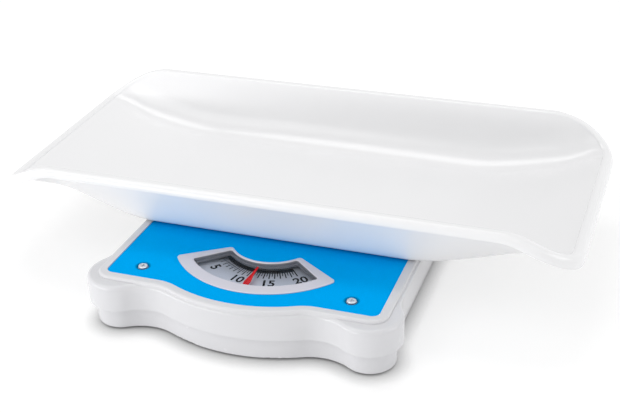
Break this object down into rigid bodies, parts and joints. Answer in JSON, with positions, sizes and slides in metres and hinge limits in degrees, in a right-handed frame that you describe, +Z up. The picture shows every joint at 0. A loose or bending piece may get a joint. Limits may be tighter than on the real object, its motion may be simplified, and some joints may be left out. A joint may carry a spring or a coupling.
{
  "type": "mechanical baby scale",
  "caption": "Platform scale with a turning dial under a fan-shaped window, a lobed base and a lift-off scoop tray.",
  "frame": {"origin": "middle of the whole object's box at floor level, under the rubber feet", "axes": "+X along the tray, to the right of someone who reads the dial; +Y from the dial to the rear; +Z up"},
  "size_m": [0.58, 0.369, 0.113],
  "materials": {
    "cover_white": "satin moulded white plastic",
    "tray_white": "smooth moulded white plastic",
    "base_white": "moulded white plastic",
    "mat_blue": "matt blue sheet",
    "bezel_silver": "silver-painted plastic",
    "lens_clear": "clear pane",
    "pointer_red": "red",
    "screw_chrome": "bright plated",
    "steel_plate": "zinc-plated sheet",
    "steel_bright": "bright steel",
    "spring_steel": "spring wire",
    "brass_part": "turned brass",
    "inner_plastic": "natural nylon",
    "dial_face": "printed silver-grey face",
    "knob_black": "black",
    "rubber_black": "black",
    "pad_rubber": "grey"
  },
  "bodies": {
    "base": {"base_shell": "base_white", "rubber_feet": "rubber_black", "chassis_plate": "steel_plate", "chassis_screws": "steel_bright", "fulcrum_brackets": "steel_plate", "crank_bracket": "steel_plate", "crank_pin": "steel_bright", "dial_bridge": "steel_plate", "bridge_screws": "steel_bright", "shaft_bushes": "brass_part", "rack_guide": "inner_plastic", "zero_bush": "brass_part", "yoke_rails": "inner_plastic", "main_spring": "spring_steel"},
    "dial": {"dial_disc": "dial_face", "dial_hub": "brass_part", "hub_cap": "brass_part", "pinion_shaft": "steel_bright"},
    "rack_bar": {"rack": "brass_part"},
    "crank": {"bell_crank": "steel_plate"},
    "rear_levers": {"long_lever_left": "steel_plate", "long_lever_right": "steel_plate", "long_lever_pins": "steel_bright"},
    "front_levers": {"short_lever_left": "steel_plate", "short_lever_right": "steel_plate", "short_lever_pins": "steel_bright"},
    "platform": {"platform_cover": "cover_white", "load_frame": "steel_plate", "load_posts": "steel_plate", "top_mat": "mat_blue", "window_bezel": "bezel_silver", "window_lens": "lens_clear", "pointer": "pointer_red", "cover_screws": "screw_chrome"},
    "zero_drive": {"zero_screw": "steel_bright", "zero_knob": "knob_black"},
    "zero_slider": {"zero_yoke": "brass_part"},
    "tray_top": {"tray": "tray_white", "tray_pads": "pad_rubber"}
  },
  "joints": [
    {"name": "dial_spin", "type": "hinge", "parent": "base", "child": "dial", "pos_m": [0, -0.059, 0.0435], "axis": [0, 0, 1], "range_deg": [-40.6, 66.2], "stiffness_Nm_per_rad": 0.085, "springref_deg": 13.75},
    {"name": "rack_slide", "type": "slide", "parent": "base", "child": "rack_bar", "axis": [0, 1, 0], "range_m": [-0.0032, 0.0052]},
    {"name": "crank_turn", "type": "hinge", "parent": "base", "child": "crank", "pos_m": [0, -0.009, 0.015], "axis": [1, 0, 0], "range_deg": [-14.91, 9.15], "deforming": ["main_spring"]},
    {"name": "rear_lever_tilt", "type": "hinge", "parent": "base", "child": "rear_levers", "pos_m": [0, 0.1055, 0.02], "axis": [1, 0, 0], "range_deg": [-2.68, 1.65]},
    {"name": "front_lever_tilt", "type": "hinge", "parent": "base", "child": "front_levers", "pos_m": [0, -0.1445, 0.02], "axis": [1, 0, 0], "range_deg": [-1.65, 2.68]},
    {"name": "platform_drop", "type": "slide", "parent": "base", "child": "platform", "axis": [0, 0, 1], "range_m": [-0.00058, 0.00094]},
    {"name": "zero_turn", "type": "hinge", "parent": "base", "child": "zero_drive", "pos_m": [0, 0.1455, 0.0135], "axis": [0, 1, 0], "range_deg": [-1080, 1080]},
    {"name": "zero_slide", "type": "slide", "parent": "base", "child": "zero_slider", "axis": [0, 1, 0], "range_m": [-0.0025, 0.0025], "deforming": ["main_spring"]},
    {"name": "tray_lift", "type": "slide", "parent": "platform", "child": "tray_top", "axis": [0, 0, 1], "range_m": [0, 0.12]}
  ],
  "couplings": [
    {"joint": "rack_slide", "follows": "dial_spin", "m_per_rad": 0.0045},
    {"joint": "crank_turn", "follows": "dial_spin", "ratio": -0.225},
    {"joint": "rear_lever_tilt", "follows": "dial_spin", "ratio": -0.040323},
    {"joint": "front_lever_tilt", "follows": "dial_spin", "ratio": 0.040323},
    {"joint": "platform_drop", "follows": "dial_spin", "m_per_rad": 0.00080645},
    {"joint": "zero_slide", "follows": "zero_turn", "m_per_rad": -0.00012732}
  ]
}
